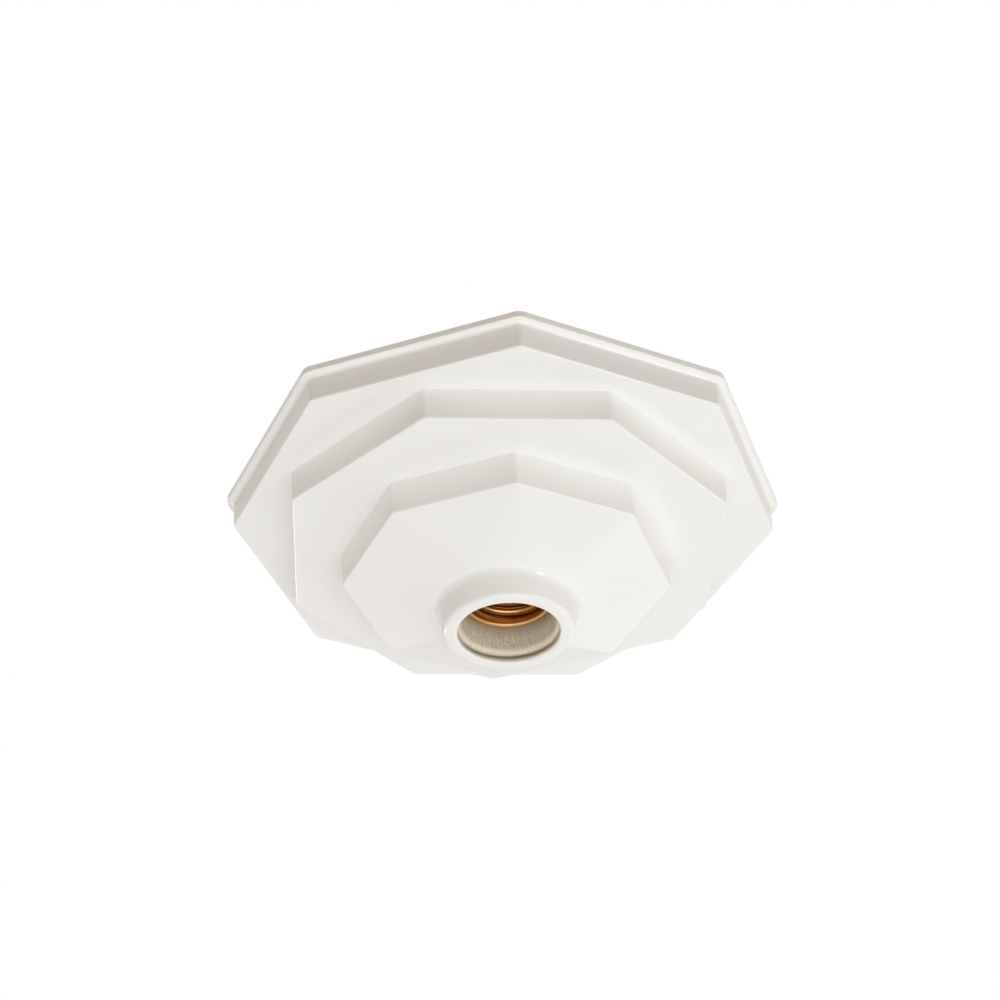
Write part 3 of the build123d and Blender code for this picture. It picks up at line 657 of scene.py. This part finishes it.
def shell_mesh(settings):
    """Rolled shell: a line spun about Z, its wall pressed into a thread, its floor notched."""
    rim_r = SHELL_HIGH.x - settings.sheet
    rim_z = SHELL_LOW.z
    floor_z = SHELL_HIGH.z - settings.sheet
    root_r = THREAD_CREST_R + settings.depth
    first_z = rim_z + settings.flare
    foot_z = rim_z + settings.rim_height + settings.turns * settings.pitch
    bm, points, _ = open_line([
        (rim_r, rim_z),
        (root_r, first_z),
        (root_r, foot_z),
        (root_r, floor_z),
        (settings.floor_hole, floor_z),
    ])
    round_off(bm, [points[3]], "VERTICES", settings.foot_bend, FOLD_SEGMENTS)
    round_off(bm, [points[1]], "VERTICES", FLARE_ROUNDING * settings.flare, FOLD_SEGMENTS)
    rows = round((foot_z - first_z) / settings.pitch * SHELL_ROWS_PER_TURN)
    wall = max(bm.edges, key=lambda edge: edge.calc_length())
    bmesh.ops.subdivide_edges(bm, edges=[wall], cuts=rows)
    spin_round(bm, SHELL_STEPS)
    start_z = foot_z - (settings.turns + SHELL_THREAD_START) * settings.pitch
    lead = SHELL_THREAD_LEAD * settings.pitch
    press_thread(bm, start_z, foot_z, settings.pitch, settings.depth, lead)
    cut_notch(bm, floor_z, settings.notch / 2)
    inward = sum(looks_inward(face) for face in bm.faces)
    if inward > len(bm.faces) / 2:
        bmesh.ops.reverse_faces(bm, faces=bm.faces)
    bmesh.ops.solidify(bm, geom=bm.faces[:], thickness=settings.sheet)
    return bm


def cut_notch(bm, floor_z, half_width):
    """Opens a flat floor towards -Y over a width on both sides of the Y axis."""
    near_floor = floor_z - 0.1 * MM
    split_above(bm, near_floor, X_AXIS, half_width)
    notch = []
    for face in bm.faces:
        centre = face.calc_center_median()
        if centre.z > near_floor and abs(centre.x) < half_width and centre.y < 0:
            notch.append(face)
    bmesh.ops.delete(bm, geom=notch, context="FACES")


def far_edge(drawn):
    """The edge that an edge was drawn out to, whose two ends are both new."""
    edges = [item for item in drawn if isinstance(item, bmesh.types.BMEdge)]
    return next(edge for edge in edges if all(vert in drawn for vert in edge.verts))


def leaf_mesh(settings):
    """Sprung leaf: a strip drawn out edge by edge, bent, its corners rounded, then given its thickness."""
    half = (LEAF_HIGH.x - LEAF_LOW.x) / 2
    root_z = LEAF_HIGH.z - settings.sheet / 2
    peak = (LEAF_BEND.y + settings.run, root_z - settings.rise)
    tip = (peak[0] + settings.curl_run, peak[1] + settings.curl_drop)
    bm = bmesh.new()
    ends = [bm.verts.new((side * half, LEAF_LOW.y, root_z)) for side in (-1, 1)]
    edge = bm.edges.new(ends)
    for place in ((LEAF_BEND.y, root_z), peak, tip):
        edge = far_edge(bmesh.ops.extrude_edge_only(bm, edges=[edge])["geom"])
        for vert in edge.verts:
            vert.co.yz = place
    bends = [item for item in bm.edges if len(item.link_faces) == 2]
    round_off(bm, bends, "EDGES", settings.bend, BEND_SEGMENTS)
    corners = [vert for vert in bm.verts if len(vert.link_edges) == 2]
    round_off(bm, corners, "VERTICES", settings.corner, BEND_SEGMENTS)
    bmesh.ops.recalc_face_normals(bm, faces=bm.faces)
    bmesh.ops.solidify(bm, geom=bm.faces[:], thickness=settings.sheet)
    levels = [vert.co.z for vert in bm.verts if vert.co.y < LEAF_BEND.y - settings.bend]
    middle_z = sum(levels) / len(levels)
    bmesh.ops.translate(bm, verts=bm.verts, vec=(0, 0, root_z - middle_z))
    return bm


def screw_mesh(head_r, head_height, shank_r, shank_length, point, pitch):
    """Pan-head screw along Z, its head above zero and its threaded shank below."""
    edge_z = HEAD_EDGE_SHARE * head_height
    tip_r = POINT_SHARE * shank_r if point > shank_r else shank_r - point
    shank_rows = round((shank_length - point) / pitch * SCREW_ROWS_PER_TURN)
    point_rows = round(point / pitch * SCREW_ROWS_PER_TURN)
    bm, _, edges = open_line([
        (0, head_height),
        (head_r, edge_z),
        (head_r, 0),
        (shank_r, 0),
        (shank_r, point - shank_length),
        (tip_r, -shank_length),
        (0, -shank_length),
    ])
    bmesh.ops.subdivide_edges(bm, edges=[edges[0]], cuts=DOME_ROWS)
    bmesh.ops.subdivide_edges(bm, edges=[edges[3]], cuts=shank_rows)
    bmesh.ops.subdivide_edges(bm, edges=[edges[4]], cuts=point_rows)
    for vert in bm.verts:
        if vert.co.z > edge_z:
            dome = 1 - (vert.co.x / head_r) ** DOME_POWER
            vert.co.z = edge_z + (head_height - edge_z) * math.sqrt(max(dome, 0))
    spin_round(bm, SCREW_STEPS)
    depth = SCREW_THREAD_DEPTH * pitch
    press_thread(bm, -shank_length, -SCREW_NECK * pitch, pitch, depth, SCREW_THREAD_LEAD * pitch)
    return bm


def cut_drive(bm, edge_z, floor_z, half_width, reach, crossed):
    """Sinks a slot, or a cross recess, into the crown of a screw's head."""
    cuts = [(half_width, Y_AXIS)]
    if crossed:
        cuts += [(half_width, X_AXIS), (reach, Y_AXIS), (reach, X_AXIS)]
    for offset, normal in cuts:
        split_above(bm, edge_z, normal, offset)
    sunk = []
    for face in bm.faces:
        centre = face.calc_center_median()
        along = abs(centre.y) < half_width and abs(centre.x) < reach
        across = crossed and abs(centre.x) < half_width and abs(centre.y) < reach
        if centre.z > edge_z and (along or across):
            sunk.append(face)
    bounds = {edge for face in sunk for edge in face.edges}
    drawn = bmesh.ops.extrude_face_region(bm, geom=sunk + list(bounds))["geom"]
    for item in drawn:
        if isinstance(item, bmesh.types.BMVert):
            item.co.z = floor_z
            if crossed:
                item.co.xy *= RECESS_TAPER
    bmesh.ops.remove_doubles(bm, verts=bm.verts, dist=MERGE_DISTANCE)
    bmesh.ops.dissolve_degenerate(bm, edges=bm.edges, dist=MERGE_DISTANCE)
    bmesh.ops.recalc_face_normals(bm, faces=bm.faces)


def make_screw(node, material, settings, kind, head_down, crossed):
    """Detailed screw in place of a CAD screw, found from that screw's box."""
    low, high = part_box(node)
    shank_r = getattr(settings, f"{kind}_shank")
    head_height = getattr(settings, f"{kind}_head")
    pitch = getattr(settings, f"{kind}_pitch")
    head_r = (high.x - low.x) / 2
    shank_length = high.z - low.z - head_height
    point = settings.tapping_point if crossed else settings.blunt_point
    bm = screw_mesh(head_r, head_height, shank_r, shank_length, point, pitch)
    edge_z = HEAD_EDGE_SHARE * head_height
    floor_z = RECESS_FLOOR_SHARE * head_height if crossed else edge_z
    reach = RECESS_REACH_SHARE * head_r if crossed else head_r
    cut_drive(bm, edge_z, floor_z, settings.drive / 2, reach, crossed)
    middle = (low + high) / 2
    seat_z = low.z + head_height if head_down else high.z - head_height
    turn = Matrix.Rotation(math.pi if head_down else 0, 4, "X")
    seat = Matrix.Translation((middle.x, middle.y, seat_z))
    bmesh.ops.transform(bm, matrix=seat @ turn, verts=bm.verts)
    return piece_from(bm, f"{node}_threaded", material, node)


class LAMP_HOLDER_OT_canopy(bpy.types.Operator):
    """Gives the moulded canopy its glossy white plastic"""

    bl_idname = "lamp_holder.canopy"
    bl_label = "Canopy"

    def execute(self, context):
        settings = context.scene.lamp_holder.canopy
        finish_nodes(plastic(settings), "canopy")
        return {"FINISHED"}


class LAMP_HOLDER_OT_porcelain(bpy.types.Operator):
    """Gives the porcelain body its rubbed rim and streaked walls"""

    bl_idname = "lamp_holder.porcelain"
    bl_label = "Porcelain body"

    def execute(self, context):
        settings = context.scene.lamp_holder.porcelain
        finish_nodes(porcelain(settings), "porcelain_body")
        return {"FINISHED"}


class LAMP_HOLDER_OT_screw_shell(bpy.types.Operator):
    """Rolls the brass screw shell with its true helical thread"""

    bl_idname = "lamp_holder.screw_shell"
    bl_label = "Screw shell"

    def execute(self, context):
        settings = context.scene.lamp_holder.shell
        shell = piece_from(
            shell_mesh(settings), "screw_shell_rolled", shell_brass(settings), "screw_shell"
        )
        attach(shell, "holder")
        return {"FINISHED"}


class LAMP_HOLDER_OT_centre_contact(bpy.types.Operator):
    """Bends the bronze centre contact, fast at its root and sprung beyond its bend"""
    # Bends the bronze centre contact into a strip with a flat root, a bend and a curled tip

    bl_idname = "lamp_holder.centre_contact"
    bl_label = "Centre contact"

    def execute(self, context):
        settings = context.scene.lamp_holder.leaf
        bronze = plated("spring bronze", settings)
        leaf = piece_from(leaf_mesh(settings), "centre_contact_sprung", bronze, "centre_contact")
        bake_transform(leaf)
        return {"FINISHED"}


class LAMP_HOLDER_OT_screws(bpy.types.Operator):
    """Makes the screws with domed heads, drives and threads"""

    bl_idname = "lamp_holder.screws"
    bl_label = "Screws"

    def execute(self, context):
        settings = context.scene.lamp_holder.screws
        zinc = plated("zinc plate", settings)
        for node in FLOOR_SCREWS:
            screw = make_screw(node, zinc, settings, "floor", head_down=True, crossed=False)
            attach(screw, "holder")
        for node in TAPPING_SCREWS:
            screw = make_screw(node, zinc, settings, "tapping", head_down=False, crossed=True)
            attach(screw, "holder")
        for node, body in WIRE_SCREW_BODIES.items():
            screw = make_screw(node, zinc, settings, "wire", head_down=False, crossed=False)
            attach(screw, body)
        finish_nodes(zinc, "shell_clamp_washer", "contact_clamp_washer")
        return {"FINISHED"}


class LAMP_HOLDER_OT_back_fittings(bpy.types.Operator):
    """Gives the terminals, fibre washers and mounting bar their finishes"""

    bl_idname = "lamp_holder.back_fittings"
    bl_label = "Back fittings"

    def execute(self, context):
        settings = context.scene.lamp_holder
        yellow = plated("terminal brass", settings.terminals)
        finish_nodes(yellow, "shell_terminal", "contact_terminal")
        finish_nodes(fibre(settings.fibre), "holder_washer_left", "holder_washer_right")
        finish_nodes(galvanised(settings.bar), "mounting_bar")
        return {"FINISHED"}


# Stage

LAMP_DIRECTIONS = {
    "key": (0, -0.5, -0.87),
    "right": (0.8, -0.45, -0.45),
    "far_right": (0.8, 0.45, -0.45),
    "far_left": (-0.8, 0.45, -0.45),
    "top": (0.1, 0.4, 1.0),
    "left_glint": (-0.6, 0.75, -0.25),
    "right_glint": (0.7, -0.64, -0.35),
}
SIDE_LAMPS = ("right", "far_right", "far_left")
DIFFUSE_LAMPS = ("top",)
GLINT_LAMPS = ("left_glint", "right_glint")


def area_lamp(name, settings):
    """Soft lamp that shines on the ceiling's centre from its direction."""
    data = bpy.data.lights.new(f"{name} lamp", "AREA")
    data.energy = getattr(settings, name)
    data.color = settings.lamp_tint
    data.shape = "RECTANGLE"
    if name in GLINT_LAMPS:
        data.size = settings.glint_width
        data.size_y = settings.glint_width
    else:
        data.size = settings.side_width if name in SIDE_LAMPS else settings.key_width
        data.size_y = settings.lamp_height
    lamp = bpy.data.objects.new(f"{name} lamp", data)
    lamp.location = Vector(LAMP_DIRECTIONS[name]).normalized() * settings.lamp_distance
    lamp.rotation_euler = (-lamp.location).to_track_quat("-Z", "Y").to_euler()
    lamp.visible_camera = False
    lamp.visible_glossy = name not in DIFFUSE_LAMPS
    lamp.visible_diffuse = name not in GLINT_LAMPS
    bpy.context.scene.collection.objects.link(lamp)


def photo_camera(settings):
    """Camera below the ceiling, looking up at its centre."""
    about_z = Matrix.Rotation(-settings.spin, 3, "Z")
    forward = about_z @ Vector((0, math.cos(settings.elevation), math.sin(settings.elevation)))
    right = about_z @ Vector(X_AXIS)
    up = right.cross(forward)
    tipped_right = right * math.cos(settings.roll) + up * math.sin(settings.roll)
    place = -settings.distance * forward
    aim = (-settings.aim_left * tipped_right - place).normalized()
    side = (tipped_right - aim * tipped_right.dot(aim)).normalized()
    data = bpy.data.cameras.new("photo camera")
    data.lens = settings.lens
    camera = bpy.data.objects.new("photo camera", data)
    turn = Matrix((side, side.cross(aim), -aim)).transposed()
    camera.matrix_world = Matrix.Translation(place) @ turn.to_4x4()
    bpy.context.scene.collection.objects.link(camera)
    bpy.context.scene.camera = camera


def studio_world(settings):
    """Even light from all around, white where the camera or a reflection looks straight at it."""
    world = bpy.data.worlds.new("studio")
    world.use_nodes = True
    tree = world.node_tree
    tree.nodes.clear()
    path = add(tree, "ShaderNodeLightPath").outputs
    seen = calculate(tree, "MAXIMUM", path["Is Camera Ray"], path["Is Glossy Ray"])
    seen = calculate(tree, "MAXIMUM", seen, path["Is Transmission Ray"])
    strength = remap(tree, seen, 0, 1, settings.ambient, 1)
    hue = blend_colours(tree, seen, settings.ambient_tint, WHITE)
    light = add(tree, "ShaderNodeBackground", {"Color": hue, "Strength": strength})
    add(tree, "ShaderNodeOutputWorld", {"Surface": light.outputs[0]})
    bpy.context.scene.world = world


def studio_floor(settings):
    """Wide pale floor far below the ceiling, which reflections look through to the white surroundings."""
    bm = bmesh.new()
    bmesh.ops.create_grid(bm, x_segments=1, y_segments=1, size=settings.floor_reach)
    bmesh.ops.translate(bm, verts=bm.verts, vec=(0, 0, -settings.floor_depth))
    mesh = bpy.data.meshes.new("floor")
    bm.to_mesh(mesh)
    bm.free()
    material, tree, shader = new_material("floor paint")
    patches = use_group(tree, mottle_group(), Scale=0.8)
    base = blend_colours(tree, patches, settings.floor_pale, settings.floor_grey)
    tree.links.new(base, shader.inputs["Base Color"])
    shader.inputs["Roughness"].default_value = 0.8
    shader.inputs["Emission Color"].default_value = (*settings.floor_glow, 1)
    path = add(tree, "ShaderNodeLightPath").outputs
    tree.links.new(path["Is Camera Ray"], shader.inputs["Emission Strength"])
    mesh.materials.append(material)
    floor = bpy.data.objects.new("floor", mesh)
    floor.visible_glossy = False
    bpy.context.scene.collection.objects.link(floor)


class LAMP_HOLDER_OT_stage(bpy.types.Operator):
    """Sets the camera, the lamps, the pale surroundings and the floor"""

    bl_idname = "lamp_holder.stage"
    bl_label = "Stage"

    def execute(self, context):
        settings = context.scene.lamp_holder.stage
        photo_camera(settings)
        studio_world(settings)
        studio_floor(settings)
        for name in LAMP_DIRECTIONS:
            area_lamp(name, settings)
        context.scene.view_settings.view_transform = "Standard"
        return {"FINISHED"}


OPERATORS = (
    LAMP_HOLDER_OT_canopy,
    LAMP_HOLDER_OT_porcelain,
    LAMP_HOLDER_OT_screw_shell,
    LAMP_HOLDER_OT_centre_contact,
    LAMP_HOLDER_OT_screws,
    LAMP_HOLDER_OT_back_fittings,
    LAMP_HOLDER_OT_stage,
)


class LAMP_HOLDER_PT_steps(bpy.types.Panel):
    """Lists the steps that dress the lamp holder, and what can be set"""

    bl_idname = "LAMP_HOLDER_PT_steps"
    bl_label = "Lamp holder"
    bl_space_type = "VIEW_3D"
    bl_region_type = "UI"
    bl_category = "Lamp holder"

    def draw(self, context):
        for operator in OPERATORS:
            self.layout.operator(operator.bl_idname)
        for group in LampHolderSettings.__annotations__:
            settings = getattr(context.scene.lamp_holder, group)
            box = self.layout.box()
            for name in type(settings).__annotations__:
                box.prop(settings, name)


CLASSES = (
    CanopySettings,
    PorcelainSettings,
    ShellSettings,
    LeafSettings,
    ScrewSettings,
    TerminalSettings,
    BarSettings,
    FibreSettings,
    StageSettings,
    LampHolderSettings,
    *OPERATORS,
    LAMP_HOLDER_PT_steps,
)


def register():
    """Makes the settings, steps and panel known to Blender."""
    for cls in CLASSES:
        bpy.utils.register_class(cls)
    bpy.types.Scene.lamp_holder = bpy.props.PointerProperty(type=LampHolderSettings)


def unregister():
    """Takes the settings, steps and panel back out."""
    del bpy.types.Scene.lamp_holder
    for cls in reversed(CLASSES):
        bpy.utils.unregister_class(cls)


def main():
    """Dresses the lamp holder step by step."""
    register()
    for operator in OPERATORS:
        step = operator.bl_idname.split(".")[1]
        getattr(bpy.ops.lamp_holder, step)()


if __name__ == "__main__":
    main()
